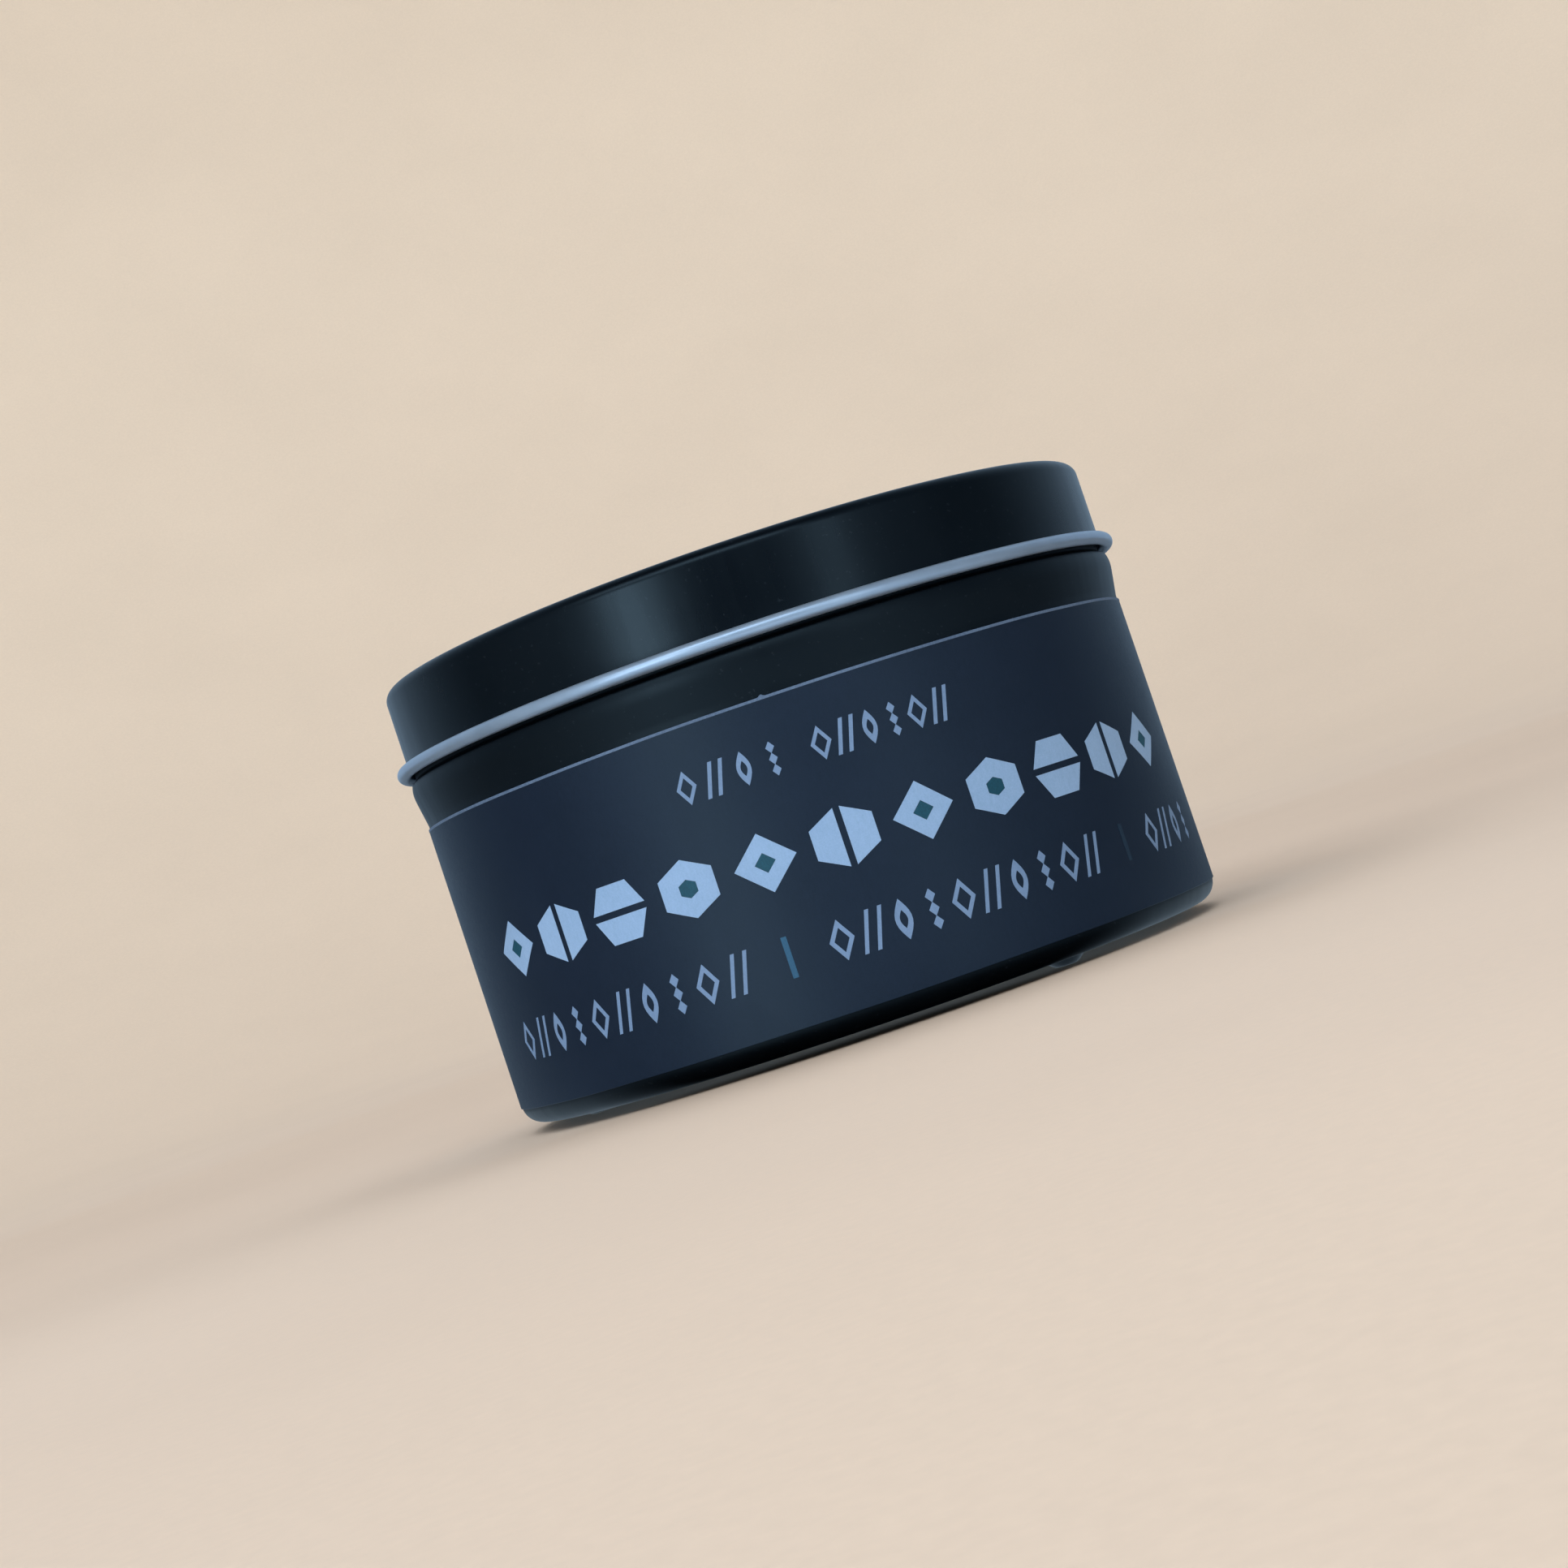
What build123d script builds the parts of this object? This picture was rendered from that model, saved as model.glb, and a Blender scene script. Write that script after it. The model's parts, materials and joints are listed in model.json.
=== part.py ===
from build123d import *

import os
from math import cos, radians, sin, tan

# Cream tin with a slip-over lid.
#
# The body and the lid are drawn from thin sheet metal. The lid slides over the necked
# rim of the body, and its rolled curl stops just above a bulge in the body wall.
# Units are millimetres. The origin is at the centre of the base, on the plane that the
# three feet stand on. +Z is up and the front of the label faces -Y.

# Driving dimensions of the whole tin
overall_height = 52.5
body_radius = 41.35
sheet = 0.25

# Base and feet
foot_height = 1.0
base_corner_radius = 2.2
foot_count = 3
foot_circle_radius = 33
first_foot_angle = -50.7
foot_base_radius = 2.4
foot_taper = 50
foot_edge_radius = 0.4

# Stop bulge, neck and rim of the body
bulge_start_height = 36.7
bulge_cone_end_height = 39.5
bulge_cone_end_radius = 41.81
bulge_peak_height = 40.45
bulge_peak_radius = 41.9
swell_radius = 3.0
swell_turn = 18
shoulder_radius = 0.45
shoulder_turn = 80
neck_radius = 41.05
rim_curl_radius = 0.6

# Lid
lid_radius = 41.55
lid_corner_radius = 1.4
lid_curl_radius = 0.76
lid_curl_reach = 43.0
lid_curl_height = 42.9
lid_curl_turn = 285
lid_flare_angle = 7

# Liner in the lid
liner_radius = 40.5
liner_thickness = 1.0
liner_edge_radius = 0.4
rim_to_liner_gap = 0.1

# Cream, and the disc that seals it
cream_top = 43.0
cream_clearance = 0.05
cream_corner_radius = 2.0
disc_radius = 39.5
disc_thickness = 0.8
disc_lip_width = 0.9
disc_lip_height = 0.5
tab_length = 18
tab_width = 1.6
tab_height = 2.0
tab_edge_radius = 0.4

# Labels
label_thickness = 0.13
glue_thickness = 0.02
label_bottom = 3.1
label_top = 36.25
label_overlap_angle = 7
base_label_radius = 24
base_label_thickness = 0.12

# Sizes that follow from the ones above
floor_height = foot_height + sheet
inner_wall_radius = body_radius - sheet
lid_inner_radius = lid_radius - sheet
lid_inner_top = overall_height - sheet
lid_inner_corner_radius = lid_corner_radius - sheet
liner_bottom = lid_inner_top - liner_thickness
rim_top = liner_bottom - rim_to_liner_gap
neck_inner_radius = neck_radius - sheet
disc_bottom = cream_top + cream_clearance
disc_top = disc_bottom + disc_thickness
label_inner_radius = body_radius + glue_thickness
label_radius = label_inner_radius + label_thickness
label_height = label_top - label_bottom

os.makedirs("parts", exist_ok=True)


# Body. The line follows the outer face of the sheet from the centre of the base, up the
# wall, over the bulge and the neck, and round the inward curl of the rim.
wall_foot = (body_radius, foot_height + base_corner_radius)
bulge_start = (body_radius, bulge_start_height)
cone_end = (bulge_cone_end_radius, bulge_cone_end_height)
bulge_peak = (bulge_peak_radius, bulge_peak_height)
swell_centre = (bulge_peak_radius - swell_radius, bulge_peak_height)
shoulder_pull = swell_radius - shoulder_radius
shoulder_centre = (
    swell_centre[0] + shoulder_pull * cos(radians(swell_turn)),
    swell_centre[1] + shoulder_pull * sin(radians(swell_turn)),
)
rim_curl_centre = (neck_radius - rim_curl_radius, rim_top - rim_curl_radius)
foot_slope = radians(foot_taper)
foot_hollow_radius = foot_base_radius + sheet * tan(foot_slope) - sheet / cos(foot_slope)

with BuildPart() as tin_body:
    with BuildSketch(Plane.XZ):
        with BuildLine():
            base_line = Line((0, foot_height), (body_radius - base_corner_radius, foot_height))
            TangentArc(base_line @ 1, wall_foot, tangent=base_line % 1)
            Line(wall_foot, bulge_start)
            cone_line = Line(bulge_start, cone_end)
            TangentArc(cone_end, bulge_peak, tangent=cone_line % 1)
            CenterArc(swell_centre, swell_radius, 0, swell_turn)
            shoulder_arc = CenterArc(
                shoulder_centre, shoulder_radius, swell_turn, shoulder_turn - swell_turn
            )
            # A hollow arc leaves the shoulder along its tangent and ends upright at the neck
            shoulder_end = shoulder_arc @ 1
            hollow_rise = (shoulder_end.X - neck_radius) / tan(radians(shoulder_turn / 2))
            neck_foot = (neck_radius, shoulder_end.Y + hollow_rise)
            TangentArc(shoulder_end, neck_foot, tangent=shoulder_arc % 1)
            Line(neck_foot, (neck_radius, rim_curl_centre[1]))
            CenterArc(rim_curl_centre, rim_curl_radius, 0, 270)
            offset(amount=sheet, side=Side.RIGHT)
        make_face()
    revolve(axis=Axis.Z)
    # The feet are hollow cones, pressed down out of the bottom panel
    with BuildSketch(Plane.XY.offset(foot_height)):
        with PolarLocations(foot_circle_radius, foot_count, start_angle=first_foot_angle):
            Circle(foot_base_radius)
    extrude(amount=-foot_height, taper=foot_taper)
    pad_edges = tin_body.edges().filter_by(GeomType.CIRCLE).group_by(Axis.Z)[0]
    fillet(pad_edges, foot_edge_radius)
    with BuildSketch(Plane.XY.offset(floor_height)):
        with PolarLocations(foot_circle_radius, foot_count, start_angle=first_foot_angle):
            Circle(foot_hollow_radius)
    extrude(amount=-foot_height, taper=foot_taper, mode=Mode.SUBTRACT)
tin_body.part.label = "tin_body"
export_step(tin_body.part, "parts/tin_body.step")


# Lid. The line follows the inner face of the sheet from the centre of the top, down the
# wall, out along a slight flare, and round the outward curl at the open edge.
lid_curl_centre = (lid_curl_reach - lid_curl_radius, lid_curl_height)
lid_corner_start = (lid_inner_radius - lid_inner_corner_radius, lid_inner_top)
lid_corner_end = (lid_inner_radius, lid_inner_top - lid_inner_corner_radius)

with BuildPart() as lid_shell:
    with BuildSketch(Plane.XZ):
        with BuildLine():
            top_line = Line((0, lid_inner_top), lid_corner_start)
            TangentArc(lid_corner_start, lid_corner_end, tangent=top_line % 1)
            curl_arc = CenterArc(
                lid_curl_centre, lid_curl_radius, 180 + lid_flare_angle, lid_curl_turn - lid_flare_angle
            )
            curl_start = curl_arc @ 0
            flare_rise = (curl_start.X - lid_inner_radius) / tan(radians(lid_flare_angle))
            flare_top = (lid_inner_radius, curl_start.Y + flare_rise)
            Line(lid_corner_end, flare_top)
            Line(flare_top, curl_start)
            offset(amount=sheet, side=Side.LEFT)
        make_face()
    revolve(axis=Axis.Z)
lid_shell.part.label = "lid_shell"
export_step(lid_shell.part, "parts/lid_shell.step")


# Liner: a foam disc against the underside of the lid's top
with BuildPart() as lid_liner:
    with BuildSketch(Plane.XY.offset(liner_bottom)):
        Circle(liner_radius)
    extrude(amount=liner_thickness)
    fillet(lid_liner.edges().group_by(Axis.Z)[-1], liner_edge_radius)
lid_liner.part.label = "lid_liner"
export_step(lid_liner.part, "parts/lid_liner.step")


# Sealing disc: a thin plastic disc with a raised lip and a pull tab across its middle
with BuildPart() as sealing_disc:
    with BuildSketch(Plane.XY.offset(disc_bottom)):
        Circle(disc_radius)
    extrude(amount=disc_thickness)
    with BuildSketch(Plane.XY.offset(disc_top)):
        Circle(disc_radius)
        Circle(disc_radius - disc_lip_width, mode=Mode.SUBTRACT)
    extrude(amount=disc_lip_height)
    with BuildSketch(Plane.XY.offset(disc_top)):
        SlotOverall(tab_length, tab_width)
    extrude(amount=tab_height)
    fillet(sealing_disc.edges().group_by(Axis.Z)[-1], tab_edge_radius)
sealing_disc.part.label = "sealing_disc"
export_step(sealing_disc.part, "parts/sealing_disc.step")


# Cream: it fills the body up to a level inside the neck
cream_floor = floor_height + cream_clearance
cream_wall_radius = inner_wall_radius - cream_clearance
cream_neck_radius = neck_inner_radius - cream_clearance

with BuildPart() as cream_fill:
    with BuildSketch(Plane.XZ):
        with BuildLine():
            Polyline(
                (0, cream_floor),
                (cream_wall_radius, cream_floor),
                (cream_wall_radius, bulge_start_height),
                (cream_neck_radius, bulge_peak_height),
                (cream_neck_radius, cream_top),
                (0, cream_top),
                close=True,
            )
        make_face()
    revolve(axis=Axis.Z)
    fillet(cream_fill.edges().filter_by(GeomType.CIRCLE).group_by(Axis.Z)[0], cream_corner_radius)
cream_fill.part.label = "cream_fill"
export_step(cream_fill.part, "parts/cream_fill.step")


# Wrap label: one turn round the wall, with a short overlap that starts at the back
with BuildPart() as wrap_label:
    with BuildSketch(Plane.XY.offset(label_bottom)):
        Circle(label_radius)
        Circle(label_inner_radius, mode=Mode.SUBTRACT)
    extrude(amount=label_height)
    with BuildSketch(Plane.YZ):
        with Locations((label_radius + label_thickness / 2, label_bottom + label_height / 2)):
            Rectangle(label_thickness, label_height)
    revolve(axis=Axis.Z, revolution_arc=label_overlap_angle)
wrap_label.part.label = "wrap_label"
export_step(wrap_label.part, "parts/wrap_label.step")


# Base label: a round sticker between the feet
with BuildPart() as base_label:
    with BuildSketch(Plane.XY.offset(foot_height)):
        Circle(base_label_radius)
    extrude(amount=-base_label_thickness)
base_label.part.label = "base_label"
export_step(base_label.part, "parts/base_label.step")
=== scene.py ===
"""The looks of a cream tin with a slip-over lid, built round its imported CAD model.

Lengths are in metres. Heights run up from the plane that the feet stand on, and angles
run anticlockwise from +X seen from above, so that the front of the tin is at -90 degrees.
"""

import json
import math

import bmesh
import bpy
from mathutils import Matrix, Vector, noise

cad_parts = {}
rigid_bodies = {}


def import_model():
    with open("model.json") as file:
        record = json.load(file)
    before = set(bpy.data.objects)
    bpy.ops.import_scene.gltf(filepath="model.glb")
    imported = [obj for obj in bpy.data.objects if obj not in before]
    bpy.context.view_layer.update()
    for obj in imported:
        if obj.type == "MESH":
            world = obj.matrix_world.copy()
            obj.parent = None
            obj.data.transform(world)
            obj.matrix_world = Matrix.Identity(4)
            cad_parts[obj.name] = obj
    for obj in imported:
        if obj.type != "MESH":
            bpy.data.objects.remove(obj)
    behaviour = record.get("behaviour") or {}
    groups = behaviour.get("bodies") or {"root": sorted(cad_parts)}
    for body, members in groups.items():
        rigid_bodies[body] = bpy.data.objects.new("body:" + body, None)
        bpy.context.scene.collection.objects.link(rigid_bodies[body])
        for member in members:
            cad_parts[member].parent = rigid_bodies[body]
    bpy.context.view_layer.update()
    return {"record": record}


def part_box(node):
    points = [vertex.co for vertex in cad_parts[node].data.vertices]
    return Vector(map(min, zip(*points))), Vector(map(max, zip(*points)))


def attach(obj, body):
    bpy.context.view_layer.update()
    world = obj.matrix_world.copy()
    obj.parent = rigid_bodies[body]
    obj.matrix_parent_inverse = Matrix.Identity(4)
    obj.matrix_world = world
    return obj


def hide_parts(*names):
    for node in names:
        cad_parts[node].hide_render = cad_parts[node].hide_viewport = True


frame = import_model()

MM = 0.001
SHARP_EDGE = math.radians(38)

# Degrees between the points of a turned piece: fine for the lid, coarse for soft and hidden ones
LID_STEP = 1.0
DISC_STEP = 1.5
SOFT_STEP = 2
STAGE_STEP = 4

# Camera: where the lens is, and how it is turned
CAMERA_DISTANCE = 335.5 * MM
CAMERA_SIDE = -1.4 * MM
CAMERA_HEIGHT = 16.6 * MM
CAMERA_PITCH = math.radians(2.05)
CAMERA_ROLL = math.radians(18.6)
CAMERA_LENS = 67.1
CAMERA_SENSOR = 36

# Places that the frame gives
tin_low, tin_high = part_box("tin_body")
lid_low, lid_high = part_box("lid_shell")
liner_low, liner_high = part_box("lid_liner")
disc_low, disc_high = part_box("sealing_disc")
cream_low, cream_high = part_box("cream_fill")
label_low, label_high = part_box("wrap_label")
sticker_low, sticker_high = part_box("base_label")
foot_place = next(m["pos_m"] for m in frame["record"]["mounts"] if m["name"] == "feet")


def extent(corner):
    """The radius that a box corner gives, without the small loss of the mesh's flat facets."""
    return round(corner.x, 5)


# Sheet metal
SHEET = 0.25 * MM
BASE_CORNER = 2.2 * MM
BULGE_RISE = 0.55 * MM
BULGE_CONE_RISE = 0.46 * MM
BULGE_START = 36.7 * MM
BULGE_CONE_END = 39.5 * MM
BULGE_PEAK = 40.45 * MM
SWELL = 3.0 * MM
SWELL_TURN = 18
SHOULDER = 0.45 * MM
SHOULDER_TURN = 80
SLIP_GAP = 0.25 * MM
RIM_CURL = 0.6 * MM
LID_CORNER = 1.4 * MM
LID_CURL = 0.76 * MM
LID_CURL_REACH = 1.7 * MM
LID_CURL_TURN = 298
LID_FLARE = 7

base_height = sticker_high.z
bulge_radius = extent(tin_high)
wall_radius = bulge_radius - BULGE_RISE
lid_inner_radius = extent(lid_high) - LID_CURL_REACH
lid_curl_height = lid_low.z + LID_CURL
neck_radius = lid_inner_radius - SLIP_GAP
label_radius = extent(label_high)

# Feet
FOOT_COUNT = 3
FOOT_PAD = 0.95 * MM
FOOT_BASE = 2.7 * MM
FOOT_RING_MARGIN = 3.0 * MM
FOOT_RING_STEP = 0.3 * MM
FOOT_ANGLE_MARGIN = 5.4
FOOT_ANGLE_STEP = 0.45
WALL_ANGLE_STEP = 1.25
foot_circle = math.hypot(foot_place[0], foot_place[1])
foot_angles = [
    math.degrees(math.atan2(foot_place[1], foot_place[0])) + 360 * k / FOOT_COUNT
    for k in range(FOOT_COUNT)
]


# ---------------------------------------------------------------- mesh tools


def new_piece(name, mesh_data, body, materials, nodes=()):
    """Makes an object from a bmesh, shades it, gives it its materials and body, and hides the CAD nodes it
    stands in for.
    """
    bmesh.ops.recalc_face_normals(mesh_data, faces=mesh_data.faces)
    mesh = bpy.data.meshes.new(name)
    mesh_data.to_mesh(mesh)
    mesh_data.free()
    for face in mesh.polygons:
        face.use_smooth = True
    mesh.set_sharp_from_angle(angle=SHARP_EDGE)
    for material in materials:
        mesh.materials.append(material)
    piece = bpy.data.objects.new(name, mesh)
    bpy.context.scene.collection.objects.link(piece)
    if body:
        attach(piece, body)
    if nodes:
        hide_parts(*nodes)
    return piece


def even_angles(step):
    count = round(360 / step)
    return [360 * k / count for k in range(count)]


def lathe(mesh_data, outline, angles, warp=None, material_of=None):
    """Turns a (radius, height) outline about Z. warp moves a point, material_of picks a slot."""
    rings = []
    for radius, height in outline:
        if radius < 1e-7:
            rings.append([mesh_data.verts.new(warp((0, 0, height)) if warp else (0, 0, height))])
            continue
        ring = []
        for angle in angles:
            turn = math.radians(angle)
            point = (radius * math.cos(turn), radius * math.sin(turn), height)
            ring.append(mesh_data.verts.new(warp(point) if warp else point))
        rings.append(ring)
    count = len(angles)
    for index, (lower, upper) in enumerate(zip(rings, rings[1:])):
        slot = material_of(index) if material_of else 0
        for k in range(count):
            after = (k + 1) % count
            if len(lower) == 1 and len(upper) == 1:
                continue
            if len(lower) == 1:
                face = mesh_data.faces.new((lower[0], upper[k], upper[after]))
            elif len(upper) == 1:
                face = mesh_data.faces.new((lower[k], lower[after], upper[0]))
            else:
                face = mesh_data.faces.new((lower[k], lower[after], upper[after], upper[k]))
            face.material_index = slot


def line(start, end, step):
    """Points from start to end, without the end, about step apart."""
    count = max(1, round(math.dist(start, end) / step))
    return [
        (start[0] + (end[0] - start[0]) * k / count, start[1] + (end[1] - start[1]) * k / count)
        for k in range(count)
    ]


def arc(centre, radius, start, turn, step=9):
    """Points on an arc, both ends included. Angles are in degrees, anticlockwise."""
    count = max(2, math.ceil(abs(turn) / step))
    angles = [math.radians(start + turn * k / count) for k in range(count + 1)]
    return [(centre[0] + radius * math.cos(a), centre[1] + radius * math.sin(a)) for a in angles]


def thicken(path, thickness):
    """A closed sheet outline: the path, and the same path moved to its left, back again."""
    moved = []
    for index in range(len(path)):
        before = path[max(index - 1, 0)]
        after = path[min(index + 1, len(path) - 1)]
        run, rise = after[0] - before[0], after[1] - before[1]
        length = math.hypot(run, rise)
        moved.append((
            path[index][0] - rise / length * thickness,
            path[index][1] + run / length * thickness,
        ))
    moved[0] = (0, moved[0][1])
    return path + moved[::-1]


def smooth_step(value):
    value = min(max(value, 0), 1)
    return value * value * (3 - 2 * value)


# ---------------------------------------------------------------- material tools


def add_node(tree, kind, inputs=None, **settings):
    """Adds a node and sets it up. Each input is a value or another node's output."""
    made = tree.nodes.new("ShaderNode" + kind)
    for key, value in settings.items():
        setattr(made, key, value)
    for key, value in (inputs or {}).items():
        if isinstance(value, bpy.types.NodeSocket):
            tree.links.new(value, made.inputs[key])
        else:
            made.inputs[key].default_value = value
    return made


def new_material(name, **sockets):
    """A Principled material. Values that are the same all over go straight on its sockets."""
    material = bpy.data.materials.new(name)
    material.use_nodes = True
    shader = material.node_tree.nodes["Principled BSDF"]
    for key, value in sockets.items():
        shader.inputs[key.replace("_", " ")].default_value = value
    return material, material.node_tree, shader


def object_place(tree):
    return add_node(tree, "TexCoord").outputs["Object"]


def wrapped_place(tree, radius, stretch):
    """Coordinates along the wall and up it, so that streaks follow the turn of the tin."""
    axes = add_node(tree, "SeparateXYZ", {"Vector": object_place(tree)})
    turn = add_node(tree, "Math", {0: axes.outputs["X"], 1: axes.outputs["Y"]}, operation="ARCTAN2")
    along = add_node(tree, "Math", {0: turn.outputs[0], 1: radius}, operation="MULTIPLY")
    flat = add_node(tree, "CombineXYZ", {"X": along.outputs[0], "Z": axes.outputs["Z"]})
    return add_node(tree, "Mapping", {"Vector": flat.outputs[0], "Scale": stretch}).outputs[0]


def on_the_wall(tree, value):
    """Keeps a pattern made for the wall where the sheet stands upright, and levels it off inside."""
    axes = add_node(tree, "SeparateXYZ", {"Vector": object_place(tree)})
    flat = add_node(tree, "CombineXYZ", {"X": axes.outputs["X"], "Y": axes.outputs["Y"]})
    reach = add_node(tree, "VectorMath", {0: flat.outputs[0]}, operation="LENGTH").outputs["Value"]
    share = spread(tree, reach, wall_radius - LID_CORNER, wall_radius - SHEET, 0, 1)
    return add_node(tree, "Mix", {"Factor": share, "A": 0.5, "B": value}).outputs[0]


def noise_value(tree, place, scale, detail=3, roughness=0.55):
    inputs = {"Vector": place, "Scale": scale, "Detail": detail, "Roughness": roughness}
    return add_node(tree, "TexNoise", inputs).outputs["Fac"]


def spread(tree, value, low, high, out_low, out_high):
    """Maps a value's range low to high onto out_low to out_high."""
    inputs = {"Value": value, "From Min": low, "From Max": high, "To Min": out_low, "To Max": out_high}
    return add_node(tree, "MapRange", inputs).outputs["Result"]


def blend_colours(tree, share, first, second):
    mix = add_node(tree, "Mix", {"Factor": share}, data_type="RGBA")
    for socket, colour in ((mix.inputs[6], first), (mix.inputs[7], second)):
        if isinstance(colour, bpy.types.NodeSocket):
            tree.links.new(colour, socket)
        else:
            socket.default_value = (*colour, 1)
    return mix.outputs[2]


def bump(tree, shader, *layers):
    """Chains bump layers, each a height and its distance in metres, into the shader."""
    normal = None
    for height, distance in layers:
        inputs = {"Height": height, "Strength": 1.0, "Distance": distance}
        if normal:
            inputs["Normal"] = normal
        normal = add_node(tree, "Bump", inputs).outputs["Normal"]
    tree.links.new(normal, shader.inputs["Normal"])


def plug(tree, shader, **outputs):
    for key, output in outputs.items():
        tree.links.new(output, shader.inputs[key.replace("_", " ")])


# ---------------------------------------------------------------- materials


def make_lacquer(name, smoothest, roughest):
    """Black lacquer with a blue cast: fine orange peel, soft drawing streaks, dust."""
    material, tree, shader = new_material(
        name, Specular_IOR_Level=0.3, Specular_Tint=(0.62, 0.84, 1.0, 1)
    )
    place = object_place(tree)
    cloud = noise_value(tree, place, 55, 4)
    streak = noise_value(tree, wrapped_place(tree, wall_radius, (1, 1, 0.06)), 420, 3)
    streak = on_the_wall(tree, streak)
    peel = noise_value(tree, place, 1500, 2)
    grain = noise_value(tree, place, 5200, 2)
    dust = spread(tree, noise_value(tree, place, 2600, 1, 0.4), 0.71, 0.76, 0, 1)
    tone = blend_colours(tree, spread(tree, cloud, 0.3, 0.7, 0, 1), LACQUER_DARK, LACQUER_LIGHT)
    tone = blend_colours(tree, spread(tree, dust, 0, 1, 0, 0.35), tone, LACQUER_DUST)
    worn = add_node(tree, "Math", {0: cloud, 1: streak}, operation="ADD").outputs[0]
    rough = spread(tree, worn, 0.7, 1.3, smoothest, roughest)
    plug(tree, shader, Base_Color=tone, Roughness=rough)
    bump(tree, shader, (streak, 0.0012 * MM), (peel, 0.0012 * MM), (grain, 0.0006 * MM))
    return material


def make_tinplate():
    """Bare satin tinplate: rolling lines round the sheet, small dull patches."""
    material, tree, shader = new_material("bare_tinplate", Metallic=0.72, Specular_IOR_Level=0.3)
    place = object_place(tree)
    cloud = noise_value(tree, place, 140, 4)
    lines = noise_value(tree, wrapped_place(tree, wall_radius, (0.05, 1, 1)), 3200, 3)
    grain = noise_value(tree, place, 4200, 2)
    tone = blend_colours(tree, spread(tree, cloud, 0.3, 0.7, 0, 1), TINPLATE_DARK, TINPLATE_LIGHT)
    dull = add_node(tree, "Math", {0: cloud, 1: lines}, operation="ADD").outputs[0]
    plug(tree, shader, Base_Color=tone, Roughness=spread(tree, dull, 0.7, 1.3, 0.34, 0.44))
    bump(tree, shader, (lines, 0.0012 * MM), (grain, 0.001 * MM))
    return material


def make_paper(name, dark, light, roughness, specular, fibre_depth=0.003 * MM, **sockets):
    """Coated paper or printed ink: blotches, fibres, a slightly uneven surface."""
    material, tree, shader = new_material(name, Specular_IOR_Level=specular, **sockets)
    place = object_place(tree)
    cloud = noise_value(tree, place, 75, 5, 0.6)
    fibre = noise_value(tree, wrapped_place(tree, label_radius, (1, 1, 0.35)), 2600, 4, 0.7)
    grain = noise_value(tree, place, 6000, 2)
    mottle = add_node(tree, "Math", {0: cloud, 1: fibre}, operation="ADD").outputs[0]
    mottle = add_node(tree, "Math", {0: mottle, 1: grain}, operation="ADD").outputs[0]
    share = spread(tree, mottle, 1.15, 1.85, 0, 1)
    plug(
        tree, shader,
        Base_Color=blend_colours(tree, share, dark, light),
        Roughness=spread(tree, mottle, 1.1, 1.9, roughness - 0.06, roughness + 0.06),
    )
    bump(tree, shader, (cloud, 0.02 * MM), (fibre, fibre_depth), (grain, fibre_depth / 2))
    return material


def make_foam():
    """Closed-cell foam sheet: small cells with soft walls."""
    material, tree, shader = new_material(
        "foam", Specular_IOR_Level=0.25, Subsurface_Weight=0.2, Subsurface_Scale=0.6 * MM
    )
    place = object_place(tree)
    cells = add_node(tree, "TexVoronoi", {"Vector": place, "Scale": 2300.0}).outputs["Distance"]
    cloud = noise_value(tree, place, 130, 3)
    share = spread(tree, cells, 0.1, 0.75, 0, 1)
    tone = blend_colours(tree, share, (0.82, 0.83, 0.82), (0.66, 0.68, 0.68))
    plug(tree, shader, Base_Color=tone, Roughness=spread(tree, cloud, 0.3, 0.7, 0.62, 0.8))
    bump(tree, shader, (cells, 0.05 * MM), (cloud, 0.03 * MM))
    return material


def make_plastic():
    """Milky moulded plastic: fine frosting, flow marks out from the middle."""
    material, tree, shader = new_material(
        "milky_plastic", Specular_IOR_Level=0.5, Subsurface_Weight=0.5, Subsurface_Scale=2.0 * MM,
        Transmission_Weight=0.25, IOR=1.5,
    )
    place = object_place(tree)
    cloud = noise_value(tree, place, 90, 3)
    frost = noise_value(tree, place, 3000, 2)
    tone = blend_colours(tree, spread(tree, cloud, 0.3, 0.7, 0, 1), (0.74, 0.79, 0.82), (0.86, 0.88, 0.89))
    plug(tree, shader, Base_Color=tone, Roughness=spread(tree, frost, 0.3, 0.7, 0.28, 0.42))
    bump(tree, shader, (frost, 0.004 * MM), (cloud, 0.02 * MM))
    return material


def make_cream():
    """Thick white cream: soft, glossy, with small air marks."""
    material, tree, shader = new_material(
        "cream", Specular_IOR_Level=0.45, Subsurface_Weight=0.7, Subsurface_Scale=3.0 * MM
    )
    place = object_place(tree)
    cloud = noise_value(tree, place, 110, 4)
    pores = noise_value(tree, place, 900, 3)
    tone = blend_colours(tree, spread(tree, cloud, 0.3, 0.7, 0, 1), (0.88, 0.82, 0.71), (0.93, 0.90, 0.81))
    plug(tree, shader, Base_Color=tone, Roughness=spread(tree, pores, 0.3, 0.7, 0.24, 0.4))
    bump(tree, shader, (cloud, 0.12 * MM), (pores, 0.02 * MM))
    return material


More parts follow.
